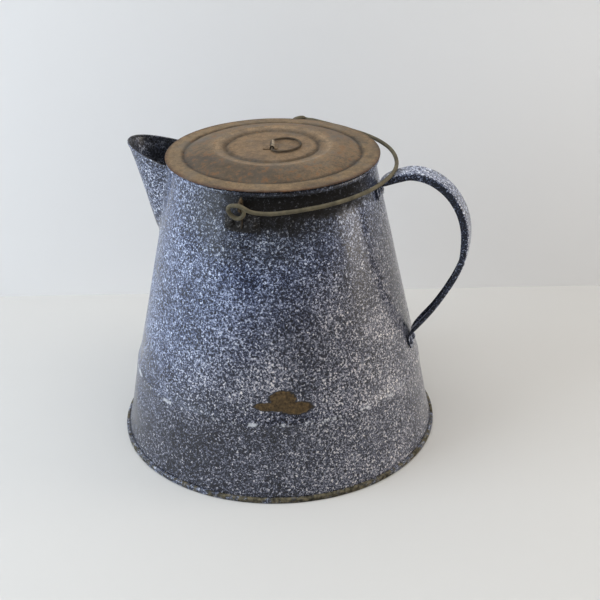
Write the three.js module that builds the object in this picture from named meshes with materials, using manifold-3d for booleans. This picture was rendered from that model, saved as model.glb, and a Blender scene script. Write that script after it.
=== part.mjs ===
// Enamelled steel coffee boiler with a wire bail, a strap handle, an open lip spout and a loose tin lid.
// Millimetres, +Z up. The origin is the middle of the base on the plane that it stands on.
// +X points to the strap handle, -X to the spout, and the bail ears are on -Y (front) and +Y (back).
import * as THREE from "three";
import { mergeVertices } from "three/addons/utils/BufferGeometryUtils.js";
import Module from "manifold-3d";

const wasm = await Module();
wasm.setup();

// ---- Driving dimensions ----
const GAP = 0.3; // clearance between neighbouring pieces
const SEGMENTS = 48; // facets round the pot

// Pot body: a tapered sheet with a swaged shoulder low down, curled over a wire at the top
const WALL = 1.1;
const TAPER = 0.2195; // radius lost per millimetre of height on the upper cone
const CONE_TOP_Z = 246;
const CONE_TOP_RADIUS = 84.2;
const SHOULDER_TOP_Z = 79;
const FOOT_Z = 5.4;
const FLANGE_RADIUS = 137.9;
const CURL_RADIUS = 2.1;
const CURL_CENTRE = [85.6, 248.1];
const RIM_WIRE_RADIUS = 0.8;

// Bottom pan, folded round the body's flange
const BASE_RADIUS = 139.5;
const PAN_SHEET = 1.2;
const SEAM_HEIGHT = 4.7;

// Spout: a bent sheet from its lowest point on the cone to the lip
const SPOUT_LOW_Z = 175;
const SPOUT_MIDDLE_Z = 205;
const SPOUT_HALF_WIDTH = 32;
const SPOUT_TOP_HALF_WIDTH = 29.4;
const SPOUT_LIP_TIP_Z = 255.6;
const SPOUT_LIP_ROOT_Z = 243.9;
const SPOUT_LIP_BEND = 1.77; // how sharply the lip turns at its tip
const KEEL_SLOPE = 0.356; // how far the spout's keel leans out per millimetre of height
const KEEL_RADIUS_LOW = 97.1;
const STRAINER_HOLE_RADIUS = 2.3;
const STRAINER_ROWS = 6;
const STRAINER_LOW_Z = 186;
const STRAINER_ROW_PITCH = 9;
const STRAINER_HOLE_PITCH = 9.5;

// Strap handle: a channel with its flanges turned in
const STRAP_SHEET = 1.15;
const STRAP_DEPTH = 6.4;
const TAB_DEPTH = 1.45;
const LOW_TAB_STANDOFF = 1.8; // from the body to the outer face of the low tab, whose flanges face the body
const TOP_TAB_STANDOFF = 0.4; // the top tab lies on the body with its outer face

// Bail ears and bail
const EAR_SHEET = 1.0;
const FIN_THICKNESS = 1.6;
const EYE_RADIUS = 5.5; // centre line of the bail's end loops
const EYE_STEP = 15; // degrees between a loop's points
const EYE_LIFT = 2.8; // the front loop's outer strand stands this far outside the circle where it joins the bow
const BAIL_WIRE_RADIUS = 1.65;
const EAR_HOLE = [93, 240.5]; // distance from the pot's axis, height
const EAR_HOLE_RADIUS = 3.05;
const LUG_RADIUS = 4.7;
const EYE_SHIFT_X = -2.6; // the loops' centres lie on the spout side of the ears
const EYE_RISE = 4.6; // the front loop hangs this far below its hole, the back one stands as far above
const MAIN_WIRE_Y = 99.8; // the bail passes outside the ears

// Lid: a pressed disc with a collar, a clip and a wire ring
const LID_RADIUS = 88.4;
const LID_SHEET = 0.8;
const BRIM_Z = 252.2; // top face at the outer edge
const LID_FACE_Z = 257.1; // top face in the middle
const COLLAR_RADIUS = 81.4;
const COLLAR_HEIGHT = 10.7;
const RING_TURN = THREE.MathUtils.degToRad(14);
const RING_WIRE_RADIUS = 0.9;
const RING_HEIGHT = 1.35; // ring's centre line above the lid's face
const CLIP_WIDTH = 14;

// Rivets
const RIVET_SHANK = 1.8;
const RIVET_HOLE = 2.3;
const TOP_TAB_RIVET_Z = 224.5;
const TOP_TAB_RIVET_Y = 4; // on each side of the handle's middle
const LOW_TAB_RIVET_Z = 91.5;
const LOW_TAB_RIVET_Y = 5; // on each side of the handle's middle
const EAR_RIVET_Z = 224.5;
const EAR_RIVET_X = 9; // on each side of the ear's fin

// ---- Materials ----
const finish = (color, roughness, metalness) => new THREE.MeshStandardMaterial({ color, roughness, metalness });
const enamel = () => finish(0x6f7688, 0.25, 0.0);
const rustyTin = () => finish(0x8a7458, 0.6, 0.6);
const wireSteel = () => finish(0x6d6a58, 0.5, 0.8);
const bareSteel = () => finish(0x6b5a48, 0.6, 0.7);

const root = new THREE.Group();

function addPiece(parent, name, geometry, material) {
  const mesh = new THREE.Mesh(geometry, material);
  mesh.name = name;
  parent.add(mesh);
  return mesh;
}

// ---- Geometry helpers ----

// Outer radius of the upper cone at a height.
const coneRadius = (z) => CONE_TOP_RADIUS + TAPER * (CONE_TOP_Z - z);

// Outward unit normal of the upper cone at an angle round the pot.
function coneNormal(angle) {
  const rise = Math.atan(TAPER);
  return new THREE.Vector3(
    Math.cos(angle) * Math.cos(rise),
    Math.sin(angle) * Math.cos(rise),
    Math.sin(rise),
  );
}

const signedArea = (outline) =>
  outline.reduce((sum, [x, y], i) => {
    const [u, v] = outline[(i + 1) % outline.length];
    return sum + (x * v - u * y) / 2;
  }, 0);

// A closed outline of [radius, height] points turned round Z.
function revolve(outline, segments = SEGMENTS) {
  const ordered = signedArea(outline) > 0 ? [...outline] : [...outline].reverse();
  const touchesAxis = ordered.some(([r]) => r === 0);
  if (touchesAxis) {
    while (!(ordered[0][0] === 0 && ordered[ordered.length - 1][0] === 0)) ordered.push(ordered.shift());
  } else {
    ordered.push(ordered[0]);
  }
  const points = ordered.map(([r, z]) => new THREE.Vector2(r, z));
  return new THREE.LatheGeometry(points, segments).rotateX(Math.PI / 2);
}

function signedVolume(position, index) {
  const corner = (i) => new THREE.Vector3().fromBufferAttribute(position, index.getX(i));
  let volume = 0;
  for (let i = 0; i < index.count; i += 3) {
    volume += corner(i).dot(corner(i + 1).cross(corner(i + 2))) / 6;
  }
  return volume;
}

// Turns every face round when the closed surface is inside out.
function facingOut(geometry) {
  const { index } = geometry;
  if (signedVolume(geometry.attributes.position, index) < 0) {
    for (let i = 0; i < index.count; i += 3) {
      const second = index.getX(i + 1);
      index.setX(i + 1, index.getX(i + 2));
      index.setX(i + 2, second);
    }
  }
  return geometry;
}

// A closed skin over rings of equal length; the triangles in cap, by place in the ring, close both ends.
function loft(rings, cap) {
  const count = rings[0].length;
  const vertices = rings.flat().flatMap((p) => [p.x, p.y, p.z]);
  const faces = [];
  for (let r = 0; r < rings.length - 1; r++) {
    for (let i = 0; i < count; i++) {
      const a = r * count + i;
      const b = r * count + ((i + 1) % count);
      faces.push(a, b, b + count, a, b + count, a + count);
    }
  }
  const last = (rings.length - 1) * count;
  for (const [a, b, c] of cap) {
    faces.push(a, c, b, last + a, last + b, last + c);
  }
  const geometry = new THREE.BufferGeometry();
  geometry.setAttribute("position", new THREE.Float32BufferAttribute(vertices, 3));
  geometry.setIndex(faces);
  return facingOut(geometry);
}

// Cap of a ring that runs out along one row and back along the other.
function rowCap(count) {
  const triangles = [];
  for (let i = 0; i < count / 2 - 1; i++) {
    const j = count - 1 - i;
    triangles.push([i, i + 1, j], [i + 1, j - 1, j]);
  }
  return triangles;
}

// A round wire along a smooth curve through the points.
function wire(points, radius, steps, sides = 6) {
  const section = new THREE.Shape();
  for (let i = 0; i < sides; i++) {
    const angle = (2 * Math.PI * i) / sides;
    const corner = [radius * Math.cos(angle), radius * Math.sin(angle)];
    if (i === 0) section.moveTo(...corner);
    else section.lineTo(...corner);
  }
  const extrudePath = new THREE.CatmullRomCurve3(points, false, "centripetal");
  extrudePath.arcLengthDivisions = 1200;
  return new THREE.ExtrudeGeometry(section, { extrudePath, steps, bevelEnabled: false });
}

function toSolid(geometry) {
  const bare = geometry.clone();
  bare.deleteAttribute("normal");
  bare.deleteAttribute("uv");
  const merged = mergeVertices(bare, 1e-4);
  return new wasm.Manifold(
    new wasm.Mesh({
      numProp: 3,
      vertProperties: new Float32Array(merged.attributes.position.array),
      triVerts: new Uint32Array(merged.index.array),
    }),
  );
}

function fromSolid(solid) {
  const { vertProperties, triVerts, numProp } = solid.getMesh();
  const corners = [];
  for (const v of triVerts) {
    corners.push(...vertProperties.slice(v * numProp, v * numProp + 3));
  }
  const geometry = new THREE.BufferGeometry();
  geometry.setAttribute("position", new THREE.Float32BufferAttribute(corners, 3));
  return geometry;
}

const cutAll = (geometry, cutters) =>
  fromSolid(cutters.reduce((solid, cutter) => solid.subtract(toSolid(cutter)), toSolid(geometry)));

// ---- Rivets: where they go, their holes and the rivets themselves ----

// A frame whose origin is on the cone's outer face and whose +Z leaves it squarely.
function onCone(angle, z) {
  const radius = coneRadius(z);
  const turn = new THREE.Quaternion().setFromUnitVectors(new THREE.Vector3(0, 0, 1), coneNormal(angle));
  const place = new THREE.Vector3(radius * Math.cos(angle), radius * Math.sin(angle), z);
  return new THREE.Matrix4().compose(place, turn, new THREE.Vector3(1, 1, 1));
}

const PLATE_STACK = 1.32; // outer face of an ear plate above the body
const TOP_TAB_STACK = 1.56; // upper face of the top tab's sheet above the body
const LOW_TAB_STACK = 1.76; // outer face of the low tab above the body

const topTabTurn = TOP_TAB_RIVET_Y / coneRadius(TOP_TAB_RIVET_Z);
const lowTabTurn = LOW_TAB_RIVET_Y / coneRadius(LOW_TAB_RIVET_Z);
const rivetSpots = {
  handle_rivet_top_front: { angle: -topTabTurn, z: TOP_TAB_RIVET_Z, stack: TOP_TAB_STACK },
  handle_rivet_top_back: { angle: topTabTurn, z: TOP_TAB_RIVET_Z, stack: TOP_TAB_STACK },
  handle_rivet_low_front: { angle: -lowTabTurn, z: LOW_TAB_RIVET_Z, stack: LOW_TAB_STACK },
  handle_rivet_low_back: { angle: lowTabTurn, z: LOW_TAB_RIVET_Z, stack: LOW_TAB_STACK },
};
for (const [side, sign] of [["front", -1], ["back", 1]]) {
  for (const [hand, shift] of [["left", -EAR_RIVET_X], ["right", EAR_RIVET_X]]) {
    const angle = (sign * Math.PI) / 2 - (sign * shift) / coneRadius(EAR_RIVET_Z);
    rivetSpots[`ear_rivet_${side}_${hand}`] = { angle, z: EAR_RIVET_Z, stack: PLATE_STACK };
  }
}

function rivetHole({ angle, z }) {
  return new THREE.CylinderGeometry(RIVET_HOLE, RIVET_HOLE, 16, 8)
    .rotateX(Math.PI / 2)
    .applyMatrix4(onCone(angle, z));
}

const holesNamed = (start) =>
  Object.entries(rivetSpots)
    .filter(([name]) => name.startsWith(start))
    .map(([, spot]) => rivetHole(spot));

function rivet({ stack }) {
  const under = -WALL - GAP;
  const over = stack + GAP;
  const head = [[3.3, over], [3.1, over + 0.7], [1.9, over + 1.4], [0, over + 1.6]];
  const tail = [[0, under - 1.3], [2.2, under - 1.1], [2.9, under]];
  return revolve([...tail, [RIVET_SHANK, under], [RIVET_SHANK, over], ...head], 8);
}

function addRivets() {
  for (const [name, spot] of Object.entries(rivetSpots)) {
    const mesh = addPiece(root, name, rivet(spot), enamel());
    mesh.applyMatrix4(onCone(spot.angle, spot.z));
  }
}

// ---- Pot body ----

// Points on a circle about the rim wire, by angle in degrees.
const curlArc = (radius, from, to, steps) =>
  Array.from({ length: steps + 1 }, (_, i) => {
    const angle = THREE.MathUtils.degToRad(from + ((to - from) * i) / steps);
    return [CURL_CENTRE[0] + radius * Math.cos(angle), CURL_CENTRE[1] + radius * Math.sin(angle)];
  });

function bodyProfile() {
  const outside = [
    [136.3, FOOT_Z],
    [134.4, 13],
    [132.0, 25],
    [127.4, 50],
    [126.3, 57],
    [125.5, 63.5],
    [124.9, 66.5],
    [123.6, 70],
    [122.0, 74.5],
    [coneRadius(SHOULDER_TOP_Z), SHOULDER_TOP_Z],
    [CONE_TOP_RADIUS, CONE_TOP_Z],
  ];
  const inside = outside.map(([r, z]) => [r - WALL, z]).reverse();
  const flange = [[FLANGE_RADIUS - 2.3, 2], [FLANGE_RADIUS, 2], [FLANGE_RADIUS, 3], [136.4, 3]];
  const curl = [
    ...curlArc(CURL_RADIUS - 1.0, 195, -100, 5),
    ...curlArc(CURL_RADIUS, -100, 195, 7),
  ];
  return [...flange, ...outside, ...curl, ...inside];
}

// Rows of strainer holes through the wall behind the spout.
function strainerHoles() {
  const holes = [];
  for (let row = 0; row < STRAINER_ROWS; row++) {
    const z = STRAINER_LOW_Z + row * STRAINER_ROW_PITCH;
    const across = row % 2 === 0 ? 5 : 4;
    for (let i = 0; i < across; i++) {
      const offset = (i - (across - 1) / 2) * STRAINER_HOLE_PITCH;
      const angle = Math.PI + offset / coneRadius(z);
      holes.push(
        new THREE.CylinderGeometry(STRAINER_HOLE_RADIUS, STRAINER_HOLE_RADIUS, 8, 8)
          .rotateX(Math.PI / 2)
          .applyMatrix4(onCone(angle, z)),
      );
    }
  }
  return holes;
}

function addBody() {
  const shell = cutAll(revolve(bodyProfile()), [...holesNamed(""), ...strainerHoles()]);
  addPiece(root, "body_shell", shell, enamel());

  const rimWire = new THREE.TorusGeometry(CURL_CENTRE[0], RIM_WIRE_RADIUS, 6, SEGMENTS);
  addPiece(root, "rim_wire", rimWire, wireSteel()).position.z = CURL_CENTRE[1];
}

function addBottomPan() {
  const innerWall = BASE_RADIUS - 1.1;
  const profile = [
    [0, 0],
    [BASE_RADIUS - 0.6, 0],
    [BASE_RADIUS, 0.6],
    [BASE_RADIUS, SEAM_HEIGHT - 0.5],
    [BASE_RADIUS - 0.5, SEAM_HEIGHT],
    [136.85, SEAM_HEIGHT],
    [136.85, SEAM_HEIGHT - 1.1],
    [innerWall, SEAM_HEIGHT - 1.1],
    [innerWall, PAN_SHEET],
    [0, PAN_SHEET],
  ];
  addPiece(root, "bottom_pan", revolve(profile), bareSteel());
}

// ---- Spout ----

const spoutHalfWidth = (z) => {
  const away = (z - SPOUT_MIDDLE_Z) / (z > SPOUT_MIDDLE_Z ? 45 : SPOUT_MIDDLE_Z - SPOUT_LOW_Z + 0.6);
  const narrowing = z > SPOUT_MIDDLE_Z ? 1 - (SPOUT_TOP_HALF_WIDTH / SPOUT_HALF_WIDTH) ** 2 : 1;
  return SPOUT_HALF_WIDTH * Math.sqrt(1 - narrowing * away * away);
};

// The bead at the rim stands out from the cone, and the spout's side edges pass outside it.
const rimClearRadius = (z) => {
  const bead = CURL_CENTRE[0] + CURL_RADIUS;
  const nearRim = THREE.MathUtils.smoothstep(z, 241, 245.5);
  return THREE.MathUtils.lerp(coneRadius(z), bead, nearRim) + GAP + 0.05;
};

// A point of the spout sheet: along runs -1..1 from side edge to side edge, up runs 0..1 to the lip.
function spoutPoint(along, up, inset) {
  const far = Math.abs(along);
  const lipZ = THREE.MathUtils.lerp(SPOUT_LIP_TIP_Z, SPOUT_LIP_ROOT_Z, far ** SPOUT_LIP_BEND);
  const z = THREE.MathUtils.lerp(SPOUT_LOW_Z, lipZ, up);
  const halfWidth = spoutHalfWidth(z) - inset;
  const edgeRadius = rimClearRadius(z);
  const edgeX = Math.sqrt(edgeRadius * edgeRadius - halfWidth * halfWidth);
  const straightKeel = KEEL_RADIUS_LOW + KEEL_SLOPE * (z - SPOUT_LOW_Z);
  const keel = Math.max(straightKeel, edgeRadius + 0.9) - inset * 0.8;
  const x = keel - Math.max(keel - edgeX, 0.05) * far * far;
  const y = Math.sign(along) * halfWidth * (1.637 * far - 0.637 * far * far);
  return new THREE.Vector3(-x, y, z);
}

function addSpout() {
  const across = 18;
  const levels = [0, 0.04, 0.1, 0.18, 0.3, 0.45, 0.6, 0.75, 0.87, 0.94, 1];
  const row = (up, inset) =>
    Array.from({ length: across + 1 }, (_, i) => spoutPoint((2 * i) / across - 1, up, inset));
  const hem = (up) => (up > 0.98 ? -0.5 : 0);
  const rings = levels.map((up) => [...row(up, hem(up)), ...row(up, 1.2).reverse()]);
  addPiece(root, "spout_shell", loft(rings, rowCap(rings[0].length)), enamel());
}

// ---- Strap handle ----

const topTab = (z) => [coneRadius(z) + TOP_TAB_STANDOFF, z];
const lowTab = (z) => [coneRadius(z) + LOW_TAB_STANDOFF, z];

// Outer face of the strap in the XZ plane as [x, z], its flange depth and its width.
function strapStations() {
  return [
    [...topTab(219.5), TAB_DEPTH, 19],
    [...topTab(222.5), TAB_DEPTH, 20],
    [...topTab(226), TAB_DEPTH, 20],
    [...topTab(229), TAB_DEPTH, 20],
    [89.4, 232.6, 2.6, 20],
    [92.6, 236.6, 5.0, 20],
    [98, 240.2, 6.2, 20],
    [106, 243.3, STRAP_DEPTH, 20],
    [115.4, 245.8, STRAP_DEPTH, 20],
    [126.8, 244.9, STRAP_DEPTH, 20],
    [138, 240.6, STRAP_DEPTH, 20],
    [149.7, 231.4, STRAP_DEPTH, 20],
    [159, 217.8, STRAP_DEPTH, 20],
    [164.2, 201.5, STRAP_DEPTH, 20],
    [165.1, 186.5, 6.2, 20],
    [162.8, 171.2, 5.4, 19.6],
    [157.2, 156.3, 4.6, 19.2],
    [148.9, 140.2, 4.1, 19],
    [138.2, 122.6, 3.9, 19],
    [126, 106.2, 3.8, 19],
    [121.3, 100.4, 2.8, 19],
    [...lowTab(96.5), TAB_DEPTH, 19],
    [...lowTab(92), TAB_DEPTH, 19],
    [...lowTab(87), TAB_DEPTH, 18],
  ];
}

// The channel's outline as [across, inward] points for a flange depth and a width.
function channelOutline(depth, width) {
  const half = width / 2;
  const corner = Math.min(1.6, depth * 0.6);
  const sheet = STRAP_SHEET;
  return [
    [-half, depth],
    [-half, corner],
    [-half + 0.9, 0.3],
    [-half + 2.6, 0],
    [half - 2.6, 0],
    [half - 0.9, 0.3],
    [half, corner],
    [half, depth],
    [half - sheet, depth],
    [half - sheet - 0.6, sheet],
    [-half + sheet + 0.6, sheet],
    [-half + sheet, depth],
  ];
}

function addHandle() {
  const stations = strapStations();
  const curve = new THREE.CatmullRomCurve3(
    stations.map(([x, z]) => new THREE.Vector3(x, 0, z)),
    false,
    "centripetal",
  );
  const steps = 2 * (stations.length - 1);
  const rings = [];
  let cap;
  for (let i = 0; i <= steps; i++) {
    const t = i / steps;
    const [low, high] = [Math.floor(i / 2), Math.ceil(i / 2)];
    const depth = (stations[low][2] + stations[high][2]) / 2;
    const width = (stations[low][3] + stations[high][3]) / 2;
    const centre = curve.getPoint(t);
    const along = curve.getTangent(t);
    const inward = new THREE.Vector3(along.z, 0, -along.x);
    const outline = channelOutline(depth, width);
    cap ??= THREE.ShapeUtils.triangulateShape(outline.map(([u, v]) => new THREE.Vector2(u, v)), []);
    rings.push(
      outline.map(([across, deep]) => centre.clone().addScaledVector(inward, deep).setY(across)),
    );
  }
  const strap = cutAll(loft(rings, cap), holesNamed("handle_rivet"));
  addPiece(root, "strap_handle", strap, enamel());
}

// ---- Bail ears ----

// Plate lying on the cone, as a closed patch from angle to angle about -Y.
function earPlate() {
  const [lowZ, highZ] = [218.5, 232.5];
  const halfAngle = 14 / coneRadius(225);
  const rings = [];
  for (let i = 0; i <= 6; i++) {
    const turn = halfAngle * ((2 * i) / 6 - 1);
    const angle = -Math.PI / 2 + turn;
    const trim = 2.2 * (Math.abs(turn) / halfAngle) ** 3;
    const at = (z, lift) => {
      const radius = coneRadius(z) + GAP + lift;
      return new THREE.Vector3(radius * Math.cos(angle), radius * Math.sin(angle), z);
    };
    rings.push([
      at(lowZ + trim, 0),
      at(lowZ + trim, EAR_SHEET),
      at(highZ - trim, EAR_SHEET),
      at(highZ - trim, 0),
    ]);
  }
  return loft(rings, rowCap(4));
}

// Fin standing square to the body, with the lug that the bail's loop hangs in.
function earFin() {
  const [holeR, holeZ] = EAR_HOLE;
  const shape = new THREE.Shape();
  shape.moveTo(coneRadius(221) + 0.8, 221);
  shape.lineTo(91.9, 222.2);
  shape.lineTo(90.4, 228.5);
  shape.lineTo(89.9, 233);
  shape.absarc(holeR, holeZ, LUG_RADIUS, THREE.MathUtils.degToRad(-125), THREE.MathUtils.degToRad(95));
  shape.lineTo(90.4, 246.6);
  shape.lineTo(88.4, 246.8);
  shape.lineTo(88.3, 245.2);
  shape.lineTo(coneRadius(242.5) + 0.6, 242.5);
  shape.lineTo(coneRadius(232) + 0.6, 232);
  const hole = new THREE.Path();
  hole.absarc(holeR, holeZ, EAR_HOLE_RADIUS, 0, 2 * Math.PI, true);
  shape.holes.push(hole);
  const fin = new THREE.ExtrudeGeometry(shape, {
    depth: FIN_THICKNESS,
    bevelEnabled: false,
    curveSegments: 6,
  });
  // shape x -> -Y, shape y -> +Z, depth -> X
  const turn = new THREE.Matrix4().makeBasis(
    new THREE.Vector3(0, -1, 0),
    new THREE.Vector3(0, 0, 1),
    new THREE.Vector3(-1, 0, 0),
  );
  return fin.applyMatrix4(turn).translate(FIN_THICKNESS / 2, 0, 0);
}

function addEars() {
  const ear = toSolid(earPlate()).add(toSolid(earFin()));
  const holes = holesNamed("ear_rivet_front");
  const drilled = fromSolid(holes.reduce((solid, hole) => solid.subtract(toSolid(hole)), ear));
  addPiece(root, "bail_ear_front", drilled, bareSteel());
  addPiece(root, "bail_ear_back", drilled.clone(), bareSteel()).rotation.z = Math.PI;
}

// ---- Bail ----

// One end loop as a helix about the bail's axis, its first quarter lifted outwards; side is -1 at the front
// and 1 at the back.
function eyeLoop(side, from, settled, to, lift) {
  const points = [];
  for (let angle = from; angle <= to + 0.1; angle += EYE_STEP) {
    const settling = THREE.MathUtils.smoothstep(angle, from, settled);
    const y = side * THREE.MathUtils.lerp(MAIN_WIRE_Y, EAR_HOLE[0], settling);
    const turn = THREE.MathUtils.degToRad(angle);
    const radius = EYE_RADIUS + lift * (1 - THREE.MathUtils.smoothstep(angle, from, from + 95));
    points.push(new THREE.Vector3(radius * Math.cos(turn), y, radius * Math.sin(turn)));
  }
  return points;
}

// The bow lies flat in the bail's own frame: X out over the handle, Y along the hinge axis.
function bailPoints() {
  const bow = [
    [12, 97.6, 3.2, 3.2],
    [24, 93.4, 0.6, 2.9],
    [38, 88.2, 0.7, 2.3],
    [53, 80.6, 1.4, 2.4],
    [68, 70.6, 2.0, 2.9],
    [82, 57.2, 2.7, 3.4],
    [93, 42, 3.3, 3.8],
    [100.5, 25, 3.9, 4.1],
    [104.4, 8, 4.2, 4.2],
  ];
  const front = bow.map(([x, y, frontZ]) => new THREE.Vector3(x, -y, frontZ));
  front.unshift(new THREE.Vector3(3.6, -99.8, 8.4), new THREE.Vector3(7.4, -99.2, 6.6));
  const back = bow.map(([x, y, , backZ]) => new THREE.Vector3(x, y, backZ)).reverse();
  back.push(new THREE.Vector3(7.2, 99.4, 2.7));
  const frontLoop = eyeLoop(-1, 92, 232, 448, EYE_LIFT).reverse();
  const backLoop = eyeLoop(1, 34, 114, 334, 0);
  return [...frontLoop, ...front, ...back, ...backLoop];
}

function addBail() {
  const tilt = Math.atan2(EYE_RISE, EAR_HOLE[0]);
  const hinge = new THREE.Group();
  hinge.position.set(EYE_SHIFT_X, 0, EAR_HOLE[1]);
  hinge.rotation.x = tilt;
  root.add(hinge);
  addPiece(hinge, "bail_wire", wire(bailPoints(), BAIL_WIRE_RADIUS, 130), wireSteel());
}

// ---- Lid ----

function lidProfile() {
  const top = [
    [LID_RADIUS, BRIM_Z - 0.5],
    [LID_RADIUS - 0.6, BRIM_Z],
    [75.5, BRIM_Z + 1.0],
    [73.2, BRIM_Z + 0.6],
    [70.5, BRIM_Z + 1.3],
    [66, BRIM_Z + 3.0],
    [58, LID_FACE_Z],
    [48.5, LID_FACE_Z + 0.9],
    [41, LID_FACE_Z],
    [38, LID_FACE_Z - 0.9],
    [35, LID_FACE_Z],
    [0, LID_FACE_Z],
  ];
  const under = top.slice(1).map(([r, z]) => [r, z - LID_SHEET]);
  const edge = [[LID_RADIUS - 1.0, BRIM_Z - 1.2], [LID_RADIUS - 0.1, BRIM_Z - 1.2]];
  return [...top, ...under.reverse(), ...edge];
}

// Strip folded over the ring's straight side, with a foot soldered down on each side of it.
function clipGeometry() {
  const sheet = 0.6;
  const inner = RING_WIRE_RADIUS + 0.5;
  const outer = inner + sheet;
  const foot = GAP;
  const shape = new THREE.Shape();
  shape.moveTo(-7.5, foot);
  shape.lineTo(-inner, foot);
  shape.lineTo(-inner, RING_HEIGHT + 0.3);
  shape.absarc(0, RING_HEIGHT + 0.3, inner, Math.PI, 0, true);
  shape.lineTo(inner, foot);
  shape.lineTo(4.5, foot);
  shape.lineTo(4.5, foot + sheet);
  shape.lineTo(outer, foot + sheet);
  shape.lineTo(outer, RING_HEIGHT + 0.3);
  shape.absarc(0, RING_HEIGHT + 0.3, outer, 0, Math.PI, false);
  shape.lineTo(-outer, foot + sheet);
  shape.lineTo(-7.5, foot + sheet);
  const strip = new THREE.ExtrudeGeometry(shape, { depth: CLIP_WIDTH, bevelEnabled: false, curveSegments: 5 });
  // shape x -> X, shape y -> +Z, depth -> -Y
  return strip.rotateX(Math.PI / 2).translate(0, CLIP_WIDTH / 2, 0);
}

// Bent wire ring: a straight side along Y, and two arms that meet in a rounded nose.
function ringPoints() {
  const outline = [
    [0, 0.5],
    [0, 6],
    [0.1, 10.6],
    [1.6, 13.4],
    [6, 16.4],
    [12, 17.2],
    [18, 14.4],
    [22, 8.6],
    [23, 1.5],
    [21, -5.8],
    [16.4, -11.6],
    [10.4, -15],
    [5, -15.2],
    [1.4, -13],
    [0.1, -10.2],
    [0, -6],
    [0, -0.5],
  ];
  return outline.map(([x, y]) => new THREE.Vector3(x, y, 0));
}

function addLid() {
  const lid = new THREE.Group();
  root.add(lid);
  addPiece(lid, "lid_disc", revolve(lidProfile()), rustyTin());

  const collarTop = BRIM_Z - LID_SHEET;
  const collar = revolve([
    [COLLAR_RADIUS - LID_SHEET, collarTop],
    [COLLAR_RADIUS, collarTop],
    [COLLAR_RADIUS, collarTop - COLLAR_HEIGHT],
    [COLLAR_RADIUS - LID_SHEET, collarTop - COLLAR_HEIGHT],
  ]);
  addPiece(lid, "lid_collar", collar, rustyTin());

  const middle = new THREE.Group();
  middle.position.set(0.6, -2.4, LID_FACE_Z);
  middle.rotation.z = RING_TURN;
  lid.add(middle);
  addPiece(middle, "lid_clip", clipGeometry(), rustyTin());
  addPiece(middle, "lid_ring", wire(ringPoints(), RING_WIRE_RADIUS, 44), wireSteel()).position.z = RING_HEIGHT;
}

addBody();
addBottomPan();
addSpout();
addHandle();
addEars();
addRivets();
addBail();
addLid();

export default root;
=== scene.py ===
"""Looks of an enamelled steel coffee boiler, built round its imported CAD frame.

The frame is in metres with +Z up: +X points to the strap handle, -X to the spout, and the bail ears are
on -Y (front) and +Y (back). Shapes are worked out in millimetres; make_piece and flat_piece scale them.
"""

import math
import operator

import bmesh
import bpy
import numpy as np
from mathutils import Matrix, Vector, noise


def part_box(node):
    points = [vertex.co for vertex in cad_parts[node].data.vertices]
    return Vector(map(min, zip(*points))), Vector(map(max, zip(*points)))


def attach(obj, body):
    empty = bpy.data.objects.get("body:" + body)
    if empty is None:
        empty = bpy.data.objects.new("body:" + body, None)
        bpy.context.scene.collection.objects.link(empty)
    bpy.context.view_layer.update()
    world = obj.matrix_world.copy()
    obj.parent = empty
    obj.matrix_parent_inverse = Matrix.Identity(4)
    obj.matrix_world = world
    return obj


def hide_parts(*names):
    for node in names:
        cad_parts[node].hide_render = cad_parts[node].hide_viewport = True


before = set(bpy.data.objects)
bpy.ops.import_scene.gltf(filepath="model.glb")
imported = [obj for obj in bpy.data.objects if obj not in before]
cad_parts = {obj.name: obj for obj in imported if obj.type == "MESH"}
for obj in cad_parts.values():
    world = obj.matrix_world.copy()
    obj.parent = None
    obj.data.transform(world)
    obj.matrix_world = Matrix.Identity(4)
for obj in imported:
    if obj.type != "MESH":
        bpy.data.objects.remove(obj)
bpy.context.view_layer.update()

MM = 0.001
AROUND = 288  # facets round the pot


def high(node):
    """Highest corner of a CAD node's box, in millimetres."""
    return np.array(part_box(node)[1]) / MM


def low(node):
    """Lowest corner of a CAD node's box, in millimetres."""
    return np.array(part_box(node)[0]) / MM


# ---- Driving dimensions, in millimetres ----

BASE_RADIUS = high("bottom_pan")[0]
SEAM_HEIGHT = high("bottom_pan")[2]
LID_RADIUS = high("lid_disc")[0]
COLLAR_RADIUS = high("lid_collar")[0]
COLLAR_TOP, COLLAR_FOOT = high("lid_collar")[2], low("lid_collar")[2]
SPOUT_FOOT_Z = low("spout_shell")[2]
SPOUT_TIP_Z = high("spout_shell")[2]

GAP = 0.3  # between sheets that touch on the real pot

WALL = 1.1
TAPER = 0.2195
CONE_TOP_Z = 246
CONE_TOP_RADIUS = 84.2
SHOULDER_TOP_Z = 79
SHOULDER_RIDGE_Z = 66
CURL_CENTRE = (85.6, 248.1)
CURL_RADIUS = 2.1
CURL_SHEET = 1.0
PAN_SHEET = 1.2
FOLD_SHEET = 1.1

SPOUT_SHEET = 1.2
SPOUT_MIDDLE_Z = 205
SPOUT_HALF_WIDTH = 32
SPOUT_TOP_HALF_WIDTH = 29.4
SPOUT_LIP_ROOT_Z = 243.9
SPOUT_LIP_BEND = 1.77
SPOUT_FULLNESS = 0.637
SPOUT_CLEARANCE = 0.35
SPOUT_COLUMNS = 56  # points from side to side of its sheet
WELD_WIDTH = 5.5
WELD_LIFT = 0.06
KEEL_SLOPE = 0.356
KEEL_RADIUS_LOW = 97.1
STRAINER_HOLE_RADIUS = 2.3
STRAINER_ROWS = 6
STRAINER_WIDEST_ROW = 5
STRAINER_LOW_Z = 186
STRAINER_ROW_PITCH = 9
STRAINER_HOLE_PITCH = 9.5

STRAP_SHEET = 1.15
STRAP_DEPTH = 6.4
TAB_DEPTH = 1.45
LOW_TAB_STANDOFF = 1.8
TOP_TAB_STANDOFF = 0.4

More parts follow.
